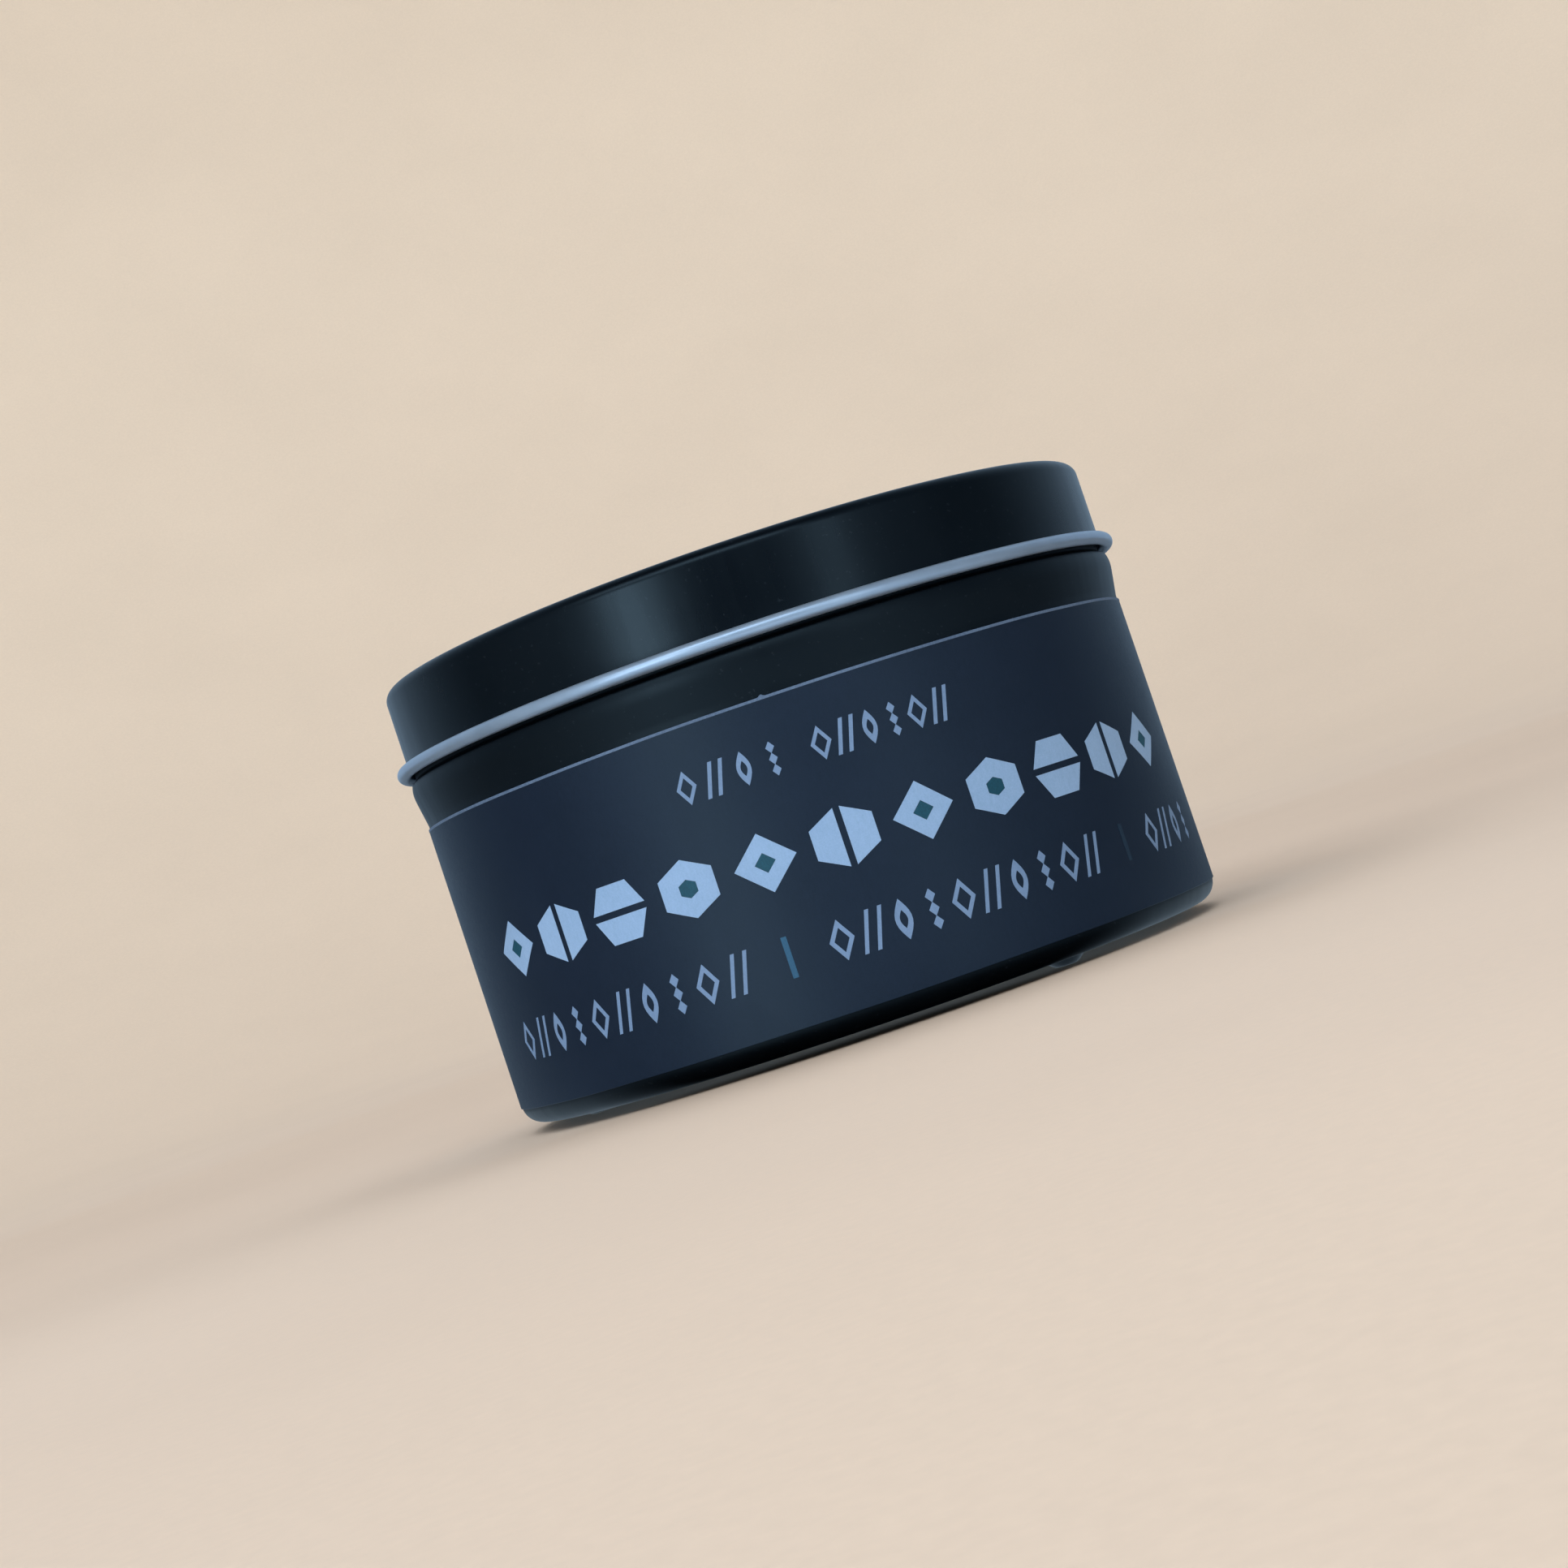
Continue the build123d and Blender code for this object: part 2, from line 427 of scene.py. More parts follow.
def make_backdrop():
    """Pale plaster-like studio floor and cove, almost plain, painted darker near the middle as painted shade
    that evens out the brighter lamp light there.
    """
    material, tree, shader = new_material("pale_backdrop", Specular_IOR_Level=0.15)
    place = object_place(tree)
    cloud = noise_value(tree, place, 9, 5, 0.6)
    speck = noise_value(tree, place, 900, 3)
    # Painted shade: darker near the middle, where the near lamps light the floor most, lighter out at the
    # cove
    away = add_node(tree, "VectorMath", {0: place}, operation="LENGTH").outputs["Value"]
    away = spread(tree, away, 0.15, FLOOR_RADIUS + COVE_RADIUS, 0, 1)
    tone = blend_colours(tree, away, BACKDROP_PAINTED_SHADE_NEAR, BACKDROP_FAR)
    mottle = add_node(tree, "Math", {0: cloud, 1: speck}, operation="ADD").outputs[0]
    tone = blend_colours(tree, spread(tree, mottle, 0.7, 1.3, 0.06, 0), tone, (0, 0, 0))
    plug(tree, shader, Base_Color=tone, Roughness=spread(tree, speck, 0.3, 0.7, 0.75, 0.9))
    bump(tree, shader, (speck, 0.02 * MM))
    return material


# Colours are linear
LACQUER_DARK = (0.0005, 0.0008, 0.0014)
LACQUER_LIGHT = (0.0012, 0.0019, 0.0030)
LACQUER_DUST = (0.02, 0.027, 0.035)
TINPLATE_DARK = (0.36, 0.465, 0.60)
TINPLATE_LIGHT = (0.44, 0.555, 0.70)
BACKDROP_PAINTED_SHADE_NEAR = (0.62, 0.505, 0.41)
BACKDROP_FAR = (0.84, 0.735, 0.61)

satin_lacquer = make_lacquer("satin_black_lacquer", 0.25, 0.33)
matte_lacquer = make_lacquer("matte_black_lacquer", 0.38, 0.46)
tinplate = make_tinplate()

# Papers and inks: their darker and lighter colour, roughness and specular level
label_paper = make_paper(
    "label_paper", (0.0040, 0.0080, 0.0205), (0.0068, 0.0130, 0.0310), 0.44, 0.42,
    Specular_Tint=(0.64, 0.86, 1.0, 1),
)
# Lighter paper for the label's cut edges; it also runs down the outer face as a thin band under the top
# edge, a painted highlight
cut_edge_and_highlight = make_paper("label_cut_edge_and_painted_highlight", (0.07, 0.115, 0.20), (0.12, 0.19, 0.31), 0.6, 0.3)
pale_ink = make_paper("pale_ink", (0.222, 0.37, 0.60), (0.275, 0.44, 0.70), 0.5, 0.3)
thin_ink = make_paper("thin_ink", (0.138, 0.232, 0.40), (0.176, 0.287, 0.485), 0.5, 0.3)
teal_ink = make_paper("teal_ink", (0.016, 0.08, 0.165), (0.025, 0.115, 0.22), 0.5, 0.3)
faint_ink = make_paper("faint_ink", (0.008, 0.024, 0.05), (0.012, 0.034, 0.065), 0.5, 0.3)
counter_ink = make_paper("counter_ink", (0.003, 0.05, 0.085), (0.006, 0.08, 0.13), 0.5, 0.3)
sticker_paper = make_paper("sticker_paper", (0.62, 0.63, 0.62), (0.76, 0.77, 0.76), 0.6, 0.3)
foam = make_foam()
plastic = make_plastic()
cream = make_cream()


# ---------------------------------------------------------------- tin body


def body_path():
    """The outer face of the body's sheet, from the middle of the base to the rim curl's end."""
    corner_radius = wall_radius - BASE_CORNER
    ring_start = foot_circle - FOOT_RING_MARGIN
    ring_end = foot_circle + FOOT_RING_MARGIN
    path = line((0, base_height), (ring_start, base_height), 4 * MM)
    path += line((ring_start, base_height), (ring_end, base_height), FOOT_RING_STEP)
    path += line((ring_end, base_height), (corner_radius, base_height), 1 * MM)
    path += arc((corner_radius, base_height + BASE_CORNER), BASE_CORNER, -90, 90)
    path += line(path[-1], (wall_radius, BULGE_START), 3 * MM)[1:]
    cone_start = (wall_radius, BULGE_START)
    cone_end = (wall_radius + BULGE_CONE_RISE, BULGE_CONE_END)
    path += line(cone_start, cone_end, 0.5 * MM)
    path += crown(cone_start, cone_end)
    path += arc((bulge_radius - SWELL, BULGE_PEAK), SWELL, 0, SWELL_TURN, 3)[1:]
    lean = math.radians(SWELL_TURN)
    shoulder_centre = (path[-1][0] - SHOULDER * math.cos(lean), path[-1][1] - SHOULDER * math.sin(lean))
    path += arc(shoulder_centre, SHOULDER, SWELL_TURN, SHOULDER_TURN - SWELL_TURN, 9)[1:]
    # A hollow arc leads from the shoulder into the upright neck
    end = path[-1]
    turn = math.radians(SHOULDER_TURN)
    hollow = (end[0] - neck_radius) / (1 - math.cos(turn))
    hollow_centre = (neck_radius + hollow, end[1] + hollow * math.sin(turn))
    path += arc(hollow_centre, hollow, 180 + SHOULDER_TURN, -SHOULDER_TURN, 10)[1:]
    rim_centre = (neck_radius - RIM_CURL, tin_high.z - RIM_CURL)
    path += line(path[-1], (neck_radius, rim_centre[1]), 2 * MM)[1:]
    path += arc(rim_centre, RIM_CURL, 0, 270, 12)
    return path


def crown(cone_start, cone_end, steps=8):
    """Points of a curve that leaves the bulge's cone smoothly and ends upright at its peak."""
    lean = (cone_end[0] - cone_start[0]) / (cone_end[1] - cone_start[1])
    bend = (bulge_radius, cone_end[1] + (bulge_radius - cone_end[0]) / lean)
    peak = (bulge_radius, BULGE_PEAK)
    points = []
    for k in range(steps + 1):
        t = k / steps
        weights = ((1 - t) ** 2, 2 * t * (1 - t), t * t)
        points.append(tuple(
            sum(w * p[axis] for w, p in zip(weights, (cone_end, bend, peak))) for axis in (0, 1)
        ))
    return points


def press_feet(point):
    """Moves a point of the bottom panel down where a foot is."""
    for angle in foot_angles:
        turn = math.radians(angle)
        foot = (foot_circle * math.cos(turn), foot_circle * math.sin(turn))
        distance = math.dist(point[:2], foot)
        if distance < FOOT_BASE and point[2] < base_height + 2 * SHEET:
            share = smooth_step((FOOT_BASE - distance) / (FOOT_BASE - FOOT_PAD))
            return (point[0], point[1], point[2] - base_height * share)
    return point


def angles_round_feet():
    """Even angles all round, with closer ones through the three feet."""
    angles = []
    for angle in even_angles(WALL_ANGLE_STEP):
        gap = min(abs((angle - foot + 180) % 360 - 180) for foot in foot_angles)
        if gap > FOOT_ANGLE_MARGIN + WALL_ANGLE_STEP / 2:
            angles.append(angle)
    count = round(2 * FOOT_ANGLE_MARGIN / FOOT_ANGLE_STEP)
    for foot in foot_angles:
        start = foot - FOOT_ANGLE_MARGIN
        angles += [(start + 2 * FOOT_ANGLE_MARGIN * k / count) % 360 for k in range(count + 1)]
    return sorted(angles)


def build_tin_body():
    path = body_path()
    outline = thicken(path, SHEET)
    mesh_data = bmesh.new()
    lathe(
        mesh_data, outline, angles_round_feet(), press_feet,
        material_of=lambda index: 0 if index < len(path) else 1,
    )
    return new_piece(
        "tin_body_shell", mesh_data, "jar", [matte_lacquer, tinplate], ["tin_body"]
    )


build_tin_body()


# ---------------------------------------------------------------- lid


def build_lid():
    """The lid's sheet: black outside, bare inside. Its curl rolls the bare side outward."""
    inner_top = lid_high.z - SHEET
    corner = LID_CORNER - SHEET
    corner_centre = (lid_inner_radius - corner, inner_top - corner)
    curl_centre = (extent(lid_high) - LID_CURL, lid_curl_height)
    curl = arc(curl_centre, LID_CURL, 180 + LID_FLARE, LID_CURL_TURN - LID_FLARE, 8)
    flare_rise = (curl[0][0] - lid_inner_radius) / math.tan(math.radians(LID_FLARE))
    flare_top = (lid_inner_radius, curl[0][1] + flare_rise)
    path = line((0, inner_top), (corner_centre[0], inner_top), 3 * MM)
    path += arc(corner_centre, corner, 90, -90, 7)
    path += line(path[-1], flare_top, 1.2 * MM)[1:] + line(flare_top, curl[0], 0.8 * MM) + curl
    outline = thicken(path, SHEET)
    mesh_data = bmesh.new()
    lathe(
        mesh_data, outline, even_angles(LID_STEP),
        material_of=lambda index: 1 if index < len(path) else 0,
    )
    return new_piece(
        "lid_cap", mesh_data, "lid", [satin_lacquer, tinplate], ["lid_shell"]
    )


build_lid()

LINER_EDGE = 0.35 * MM
LINER_GROOVE_DEPTH = 0.12 * MM
LINER_GROOVE_WIDTH = 0.45 * MM
LINER_GROOVE_STEPS = 8


def build_liner():
    """A foam disc with the ring that the rim presses into its underside."""
    radius = extent(liner_high)
    ring = neck_radius - RIM_CURL
    path = [(0, liner_low.z), (ring - 2 * LINER_GROOVE_WIDTH, liner_low.z)]
    for k in range(LINER_GROOVE_STEPS + 1):
        share = k / LINER_GROOVE_STEPS
        depth = LINER_GROOVE_DEPTH * math.sin(math.pi * share)
        place = ring - LINER_GROOVE_WIDTH + (radius - LINER_EDGE - ring + LINER_GROOVE_WIDTH) * share
        path.append((place, liner_low.z + depth))
    path += arc((radius - LINER_EDGE, liner_low.z + LINER_EDGE), LINER_EDGE, -90, 90, 18)
    path += arc((radius - LINER_EDGE, liner_high.z - LINER_EDGE), LINER_EDGE, 0, 90, 18)
    path.append((0, liner_high.z))
    mesh_data = bmesh.new()
    lathe(mesh_data, path, even_angles(DISC_STEP))
    piece = new_piece("foam_liner", mesh_data, "lid", [foam], ["lid_liner"])
    return piece


build_liner()


# ---------------------------------------------------------------- cream and sealing disc

CREAM_TURNS = 3.5
CREAM_WAVE = 0.55 * MM
CREAM_DIP = 0.9 * MM
CREAM_RINGS = 90
CREAM_GAP = 0.05 * MM
CREAM_CORNER = 2.0 * MM
CREAM_CALM = 0.12
CREAM_RIPPLE = 0.12 * MM
CREAM_RIPPLE_SCALE = 120
cream_neck_radius = neck_radius - SHEET - CREAM_GAP


def cream_surface(point):
    """The cream's top: a spiral left by a spatula, lowest in the middle, level at the wall."""
    if point[2] < cream_high.z - CREAM_DIP * 0.1:
        return point
    radius = math.hypot(point[0], point[1]) / cream_neck_radius
    turn = math.atan2(point[1], point[0])
    wave = 0.5 + 0.5 * math.sin(turn + 2 * math.pi * CREAM_TURNS * radius)
    calm = smooth_step((1 - radius) / CREAM_CALM)
    ripple = noise.noise(Vector(point) * CREAM_RIPPLE_SCALE) * CREAM_RIPPLE
    drop = calm * (CREAM_WAVE * wave ** 1.5 + CREAM_DIP * (1 - radius) + abs(ripple))
    return (point[0], point[1], cream_high.z - drop)


def build_cream():
    wall = extent(cream_high)
    neck = cream_neck_radius
    path = [(0, cream_low.z)]
    path += arc((wall - CREAM_CORNER, cream_low.z + CREAM_CORNER), CREAM_CORNER, -90, 90, 15)
    path += [(wall, BULGE_START), (neck, BULGE_PEAK), (neck, cream_high.z - CREAM_DIP * 0.5)]
    path += [(neck * (1 - k / CREAM_RINGS), cream_high.z) for k in range(CREAM_RINGS + 1)]
    mesh_data = bmesh.new()
    lathe(mesh_data, path, even_angles(SOFT_STEP), cream_surface)
    return new_piece("cream_swirl", mesh_data, "jar", [cream], ["cream_fill"])


build_cream()

DISC_THICKNESS = 0.8 * MM
DISC_LIP_WIDTH = 0.9 * MM
DISC_LIP_HEIGHT = 0.5 * MM
DISC_RING_RADII = (14 * MM, 26 * MM)
DISC_RING_HEIGHT = 0.25 * MM
DISC_RING_WIDTH = 1.2 * MM
TAB_LENGTH = 18 * MM
TAB_WIDTH = 1.6 * MM
TAB_EDGE = 0.4 * MM
TAB_ROOT = 0.5 * MM
TAB_FLARE = 0.45 * MM
DISC_EDGE = 0.18 * MM
DISC_RING_STEPS = 8


def disc_path():
    """The sealing disc's section: flat below, two moulded rings and a lip on top."""
    radius = extent(disc_high)
    top = disc_low.z + DISC_THICKNESS
    lip_top = top + DISC_LIP_HEIGHT
    lip_inner = radius - DISC_LIP_WIDTH
    path = [(0, disc_low.z)]
    path += arc((radius - DISC_EDGE, disc_low.z + DISC_EDGE), DISC_EDGE, -90, 90, 30)
    path += arc((radius - DISC_EDGE, lip_top - DISC_EDGE), DISC_EDGE, 0, 90, 30)
    path += arc((lip_inner + DISC_EDGE, lip_top - DISC_EDGE), DISC_EDGE, 90, 90, 30)
    path += arc((lip_inner - DISC_EDGE, top + DISC_EDGE), DISC_EDGE, 0, -90, 30)
    for ring in reversed(DISC_RING_RADII):
        for k in range(DISC_RING_STEPS + 1):
            share = k / DISC_RING_STEPS
            rise = DISC_RING_HEIGHT * math.sin(math.pi * share)
            path.append((ring + DISC_RING_WIDTH * (0.5 - share), top + rise))
    path.append((0, top))
    return path


def stadium(length, width, count=14):
    """A slot outline: two half rounds joined by straight sides."""
    radius = width / 2
    reach = length / 2 - radius
    points = []
    for side in (0, 180):
        centre = reach if side == 0 else -reach
        for k in range(count + 1):
            turn = math.radians(side - 90 + 180 * k / count)
            points.append((centre + radius * math.cos(turn), radius * math.sin(turn)))
    return points


def add_tab(mesh_data):
    """A pull tab with a rounded top, and a flared foot where it meets the disc."""
    root = disc_low.z + DISC_THICKNESS * 0.5
    foot = root + DISC_THICKNESS * 0.5
    shoulder = disc_high.z - TAB_EDGE
    levels = [(root, TAB_ROOT), (foot, TAB_FLARE)]
    for angle in (30, 60, 90):
        rise, growth = math.sin(math.radians(angle)), 1 - math.cos(math.radians(90 - angle))
        levels.append((foot + TAB_FLARE * rise, TAB_FLARE * growth))
    for angle in (0, 22, 45, 67, 88):
        rise, growth = math.sin(math.radians(angle)), 1 - math.cos(math.radians(angle))
        levels.append((shoulder + TAB_EDGE * rise, -TAB_EDGE * growth))
    rings = []
    for height, growth in levels:
        outline = stadium(TAB_LENGTH + 2 * growth, TAB_WIDTH + 2 * growth)
        rings.append([mesh_data.verts.new((x, y, height)) for x, y in outline])
    for lower, upper in zip(rings, rings[1:]):
        for k in range(len(lower)):
            after = (k + 1) % len(lower)
            mesh_data.faces.new((lower[k], lower[after], upper[after], upper[k]))
    mesh_data.faces.new(rings[0][::-1])
    mesh_data.faces.new(rings[-1])


def build_sealing_disc():
    mesh_data = bmesh.new()
    lathe(mesh_data, disc_path(), even_angles(DISC_STEP))
    add_tab(mesh_data)
    return new_piece("seal_with_tab", mesh_data, "disc", [plastic], ["sealing_disc"])


build_sealing_disc()


# ---------------------------------------------------------------- labels

LABEL_THICKNESS = 0.13 * MM
LABEL_OVERLAP = 7
LABEL_CLIMB = 4
# Height of the painted highlight band on the outer face under the top edge
LABEL_HIGHLIGHT_BAND = 0.3 * MM
LABEL_CHAMFER = 0.03 * MM
LABEL_WAVER = 0.05 * MM
WAVER_SCALE = 4
TOP_WAVER_SEED = 1.5
BOTTOM_WAVER_SEED = 7.5
BURR_ANGLE = 268.9
BURR_SPREAD = 0.35
BURR_RISE = 0.22 * MM
SEAM_ANGLE = 90


def label_edge_waver(angle, seed):
    """How far the knife wandered from a level cut, at an angle in degrees."""
    turn = math.radians(angle)
    place = Vector((math.cos(turn) * WAVER_SCALE, math.sin(turn) * WAVER_SCALE, seed))
    return LABEL_WAVER * noise.noise(place)


def label_section(turn):
    """The label's cross-section at a turn from its start: radius and height of each corner."""
    angle = SEAM_ANGLE + turn
    lift = LABEL_THICKNESS * smooth_step((turn - 360 + LABEL_CLIMB) / LABEL_CLIMB)
    inner = label_radius - LABEL_THICKNESS + lift
    outer = label_radius + lift
    burr = BURR_RISE * math.exp(-(((angle - BURR_ANGLE) / BURR_SPREAD) ** 2))
    top = label_high.z - LABEL_WAVER / 2 + label_edge_waver(angle, TOP_WAVER_SEED) + burr
    bottom = label_low.z + LABEL_WAVER / 2 + label_edge_waver(angle, BOTTOM_WAVER_SEED)
    return [
        (inner, bottom),
        (outer - LABEL_CHAMFER, bottom),
        (outer, bottom + LABEL_CHAMFER),
        (outer, top - LABEL_HIGHLIGHT_BAND - burr),
        (outer + LABEL_CHAMFER, top - LABEL_HIGHLIGHT_BAND * 0.6 - burr * 0.6),
        (outer + LABEL_CHAMFER, top - LABEL_CHAMFER),
        (outer - LABEL_CHAMFER, top),
        (inner, top),
    ]


def label_turns():
    """Turns from the label's start, closer together at the burr."""
    turns = set(range(0, 361 + LABEL_OVERLAP))
    burr_turn = BURR_ANGLE - SEAM_ANGLE
    turns |= {round(burr_turn + 0.15 * k, 3) for k in range(-8, 9)}
    return sorted(turns)


def build_wrap_label():
    """One sheet of paper round the tin, whose end laps over its start at the back."""
    mesh_data = bmesh.new()
    sections = []
    for turn in label_turns():
        angle = math.radians(SEAM_ANGLE + turn)
        sections.append([
            mesh_data.verts.new((radius * math.cos(angle), radius * math.sin(angle), height))
            for radius, height in label_section(turn)
        ])
    corners = len(sections[0])
    for before, after in zip(sections, sections[1:]):
        for k in range(corners):
            following = (k + 1) % corners
            face = mesh_data.faces.new((before[k], after[k], after[following], before[following]))
            # Faces 3 to 6 take the lighter material: the cut top edge, and just under it on the outer face a
            # painted highlight band
            face.material_index = 1 if 3 <= k <= 6 else 0
    for ending in (sections[0][::-1], sections[-1]):
        mesh_data.faces.new(ending).material_index = 1
    return new_piece(
        "label_wrap", mesh_data, "jar", [label_paper, cut_edge_and_highlight], ["wrap_label"]
    )


build_wrap_label()


# ---------------------------------------------------------------- print on the label

INK_HEIGHT = 0.02 * MM
INK_SINK = 0.02 * MM
COUNTER_HEIGHT = 0.008 * MM
COUNTER_FIT = 0.97
FILL_LOOPS = (1, 0.6, 0.25)
BAND_SHAPE = (6.7 * MM, 6.2 * MM)
BAND_GAP = 0.7 * MM
THIN_STROKE = 0.44 * MM
FRONT_ANGLE = -90

# Rows of the print: middle height, shape height, and groups of (first, last, count) in
# degrees from the front
BAND_HEIGHT = 20.2 * MM
BAND_GROUP = (-54.9, 62.5, 11)
UPPER_HEIGHT = 29.9 * MM
UPPER_SHAPE = 3.6 * MM
UPPER_GROUPS = ((-15.2, -2.2, 4), (4.8, 23.0, 6))
LOWER_HEIGHT = 10.4 * MM
LOWER_SHAPE = 4.3 * MM
LOWER_GROUPS = ((-60.6, -16.6, 10), (-1.2, 39.8, 10), (55.2, 69.0, 4))
TICKS = ((-8.9, 4.3 * MM), (47.5, 4.0 * MM))
TICK_WIDTH = 0.6 * MM

# Rings printed on the sticker, as inner radius and width
STICKER_RINGS = ((20.5 * MM, 0.8 * MM), (18.9 * MM, 0.4 * MM), (6 * MM, 1.4 * MM))
STICKER_EDGE = 0.03 * MM


def lozenge(width, height, place=(0, 0)):
    return shift([(0, -height / 2), (width / 2, 0), (0, height / 2), (-width / 2, 0)], place)


def hexagon(width, height, place=(0, 0)):
    side, top = width / 2, height / 2
    right = [(0, -top), (side, -top / 2), (side, top / 2)]
    left = [(0, top), (-side, top / 2), (-side, -top / 2)]
    return shift(right + left, place)


def leaf(width, height, place=(0, 0), count=9):
    right = []
    for k in range(count + 1):
        up = k / count - 0.5
        right.append((width / 2 * math.cos(math.pi * up), height * up))
    left = [(-x, y) for x, y in right[-2:0:-1]]
    return shift(right + left, place)


def slant(width, height, lean):
    shift_x = height * lean / 2
    return [
        (-width / 2 - shift_x, -height / 2), (width / 2 - shift_x, -height / 2),
        (width / 2 + shift_x, height / 2), (-width / 2 + shift_x, height / 2),
    ]


def shift(corners, place):
    return [(x + place[0], y + place[1]) for x, y in corners]


def scaled(corners, scale):
    """The same outline, scaled about its own middle in each direction."""
    middle = [sum(c[axis] for c in corners) / len(corners) for axis in (0, 1)]
    return [tuple(middle[axis] + (c[axis] - middle[axis]) * scale[axis] for axis in (0, 1)) for c in corners]


def divided(corners, longest=0.6 * MM):
    """The outline with extra points along its sides, so that it can follow the wall."""
    points = []
    for start, end in zip(corners, corners[1:] + corners[:1]):
        points += line(start, end, longest)
    return points


def add_print(mesh_data, outline, hole, angle, height, thickness=INK_HEIGHT):
    """A printed shape on the label: solid where hole is 0, else a ring with a hole of that scale."""
    scales = FILL_LOOPS if hole == 0 else (1, (1 + hole) / 2, hole)
    outer = divided(outline)
    layers = []
    for lift in (thickness, -INK_SINK):
        layers.append([
            [mesh_data.verts.new(wall_point(place, angle, height, lift)) for place in scaled(outer, (s, s))]
            for s in scales
        ])
    for loops in layers:
        for wide, narrow in zip(loops, loops[1:]):
            join_loops(mesh_data, wide, narrow)
        if hole == 0:
            mesh_data.faces.new(loops[-1])
    join_loops(mesh_data, layers[0][0], layers[1][0])
    if hole > 0:
        join_loops(mesh_data, layers[0][-1], layers[1][-1])


def wall_point(place, angle, height, lift):
    turn = math.radians(FRONT_ANGLE + angle) + place[0] / label_radius
    radius = label_radius + lift
    return (radius * math.cos(turn), radius * math.sin(turn), height + place[1])


def join_loops(mesh_data, first, second):
    for k in range(len(first)):
        after = (k + 1) % len(first)
        mesh_data.faces.new((first[k], first[after], second[after], second[k]))


def group_angles(group):
    first, last, count = group
    return [first + (last - first) * k / (count - 1) for k in range(count)]


def ring_lozenge(width, height):
    return [(lozenge(width, height), 0.34)]


def split_hexagon(width, height):
    gap, side, top = BAND_GAP / 2, width / 2, height / 2
    half = [(gap, -top), (side, -top / 2), (side, top / 2), (gap, top)]
    return [([(turn * x, y) for x, y in half], 0) for turn in (-1, 1)]


def split_lantern(width, height):
    gap, side, top = BAND_GAP / 2, width / 2, height / 2
    half = [(-side, gap), (side, gap), (side * 0.55, top), (-side * 0.55, top)]
    return [([(x, turn * y) for x, y in half], 0) for turn in (-1, 1)]


def ring_hexagon(width, height):
    return [(hexagon(width * 0.92, height), 0.32)]


def thin_lozenge(height):
    return [(lozenge(height * 0.62, height), 0.6)]


def thin_leaf(height):
    return [(leaf(height * 0.42, height), 0.45)]


def thin_slants(height):
    return [(shift(slant(THIN_STROKE, height, 0.3), (side * height * 0.16, 0)), 0) for side in (-1, 1)]


def thin_stack(height):
    return [(lozenge(height * 0.26, height * 0.34, (0, y * height * 0.33)), 0) for y in (-1, 0, 1)]


BAND_SHAPES = (ring_lozenge, split_hexagon, split_lantern, ring_hexagon, ring_lozenge, split_hexagon)
THIN_SHAPES = (thin_lozenge, thin_slants, thin_leaf, thin_stack)


def build_band():
    """The bold middle row: shapes that mirror about the row's middle one."""
    mesh_data = bmesh.new()
    for index, angle in enumerate(group_angles(BAND_GROUP)):
        shape = BAND_SHAPES[min(index, BAND_GROUP[2] - 1 - index)]
        for outline, hole in shape(*BAND_SHAPE):
            add_print(mesh_data, outline, hole, angle, BAND_HEIGHT)
    return new_piece("print_band", mesh_data, "jar", [pale_ink])


def build_counters():
    """Dark teal fills in the holes of the bold row, lower than the pale ink round them."""
    mesh_data = bmesh.new()
    for index, angle in enumerate(group_angles(BAND_GROUP)):
        shape = BAND_SHAPES[min(index, BAND_GROUP[2] - 1 - index)]
        for outline, hole in shape(*BAND_SHAPE):
            if hole > 0:
                fill = scaled(outline, (hole * COUNTER_FIT, hole * COUNTER_FIT))
                add_print(mesh_data, fill, 0, angle, BAND_HEIGHT, COUNTER_HEIGHT)
    return new_piece("print_counters", mesh_data, "jar", [counter_ink])


def build_thin_row(name, groups, height, shape_height):
    mesh_data = bmesh.new()
    for group in groups:
        for index, angle in enumerate(group_angles(group)):
            for outline, hole in THIN_SHAPES[index % len(THIN_SHAPES)](shape_height):
                add_print(mesh_data, outline, hole, angle, height)
    return new_piece(name, mesh_data, "jar", [thin_ink])


def build_ticks():
    """Teal marks between the groups of the lower row, the second one printed much fainter."""
    mesh_data = bmesh.new()
    for index, (angle, height) in enumerate(TICKS):
        count = len(mesh_data.faces)
        add_print(mesh_data, slant(TICK_WIDTH, height, 0), 0, angle, LOWER_HEIGHT)
        for face in list(mesh_data.faces)[count:]:
            face.material_index = index
    return new_piece("print_ticks", mesh_data, "jar", [teal_ink, faint_ink])


def build_sticker():
    """The round paper sticker under the base, with a plain printed ring."""
    radius = extent(sticker_high)
    low, high = sticker_low.z, sticker_high.z
    path = [(0, high), (radius, high), (radius, low + STICKER_EDGE), (radius - STICKER_EDGE, low), (0, low)]
    mesh_data = bmesh.new()
    lathe(mesh_data, path, even_angles(SOFT_STEP))
    new_piece("round_sticker", mesh_data, "jar", [sticker_paper], ["base_label"])
    mesh_data = bmesh.new()
    for ring, width in STICKER_RINGS:
        far, face = ring + width, low - INK_HEIGHT
        section = [(ring, low), (far, low), (far, face), (ring, face)]
        lathe(mesh_data, section + section[:1], even_angles(SOFT_STEP))
    bmesh.ops.remove_doubles(mesh_data, verts=mesh_data.verts, dist=0.001 * MM)
    return new_piece("sticker_rings", mesh_data, "jar", [thin_ink])


build_band()
build_counters()
build_thin_row("print_upper_row", UPPER_GROUPS, UPPER_HEIGHT, UPPER_SHAPE)
build_thin_row("print_lower_row", LOWER_GROUPS, LOWER_HEIGHT, LOWER_SHAPE)
build_ticks()
build_sticker()


# ---------------------------------------------------------------- stage, lights, camera

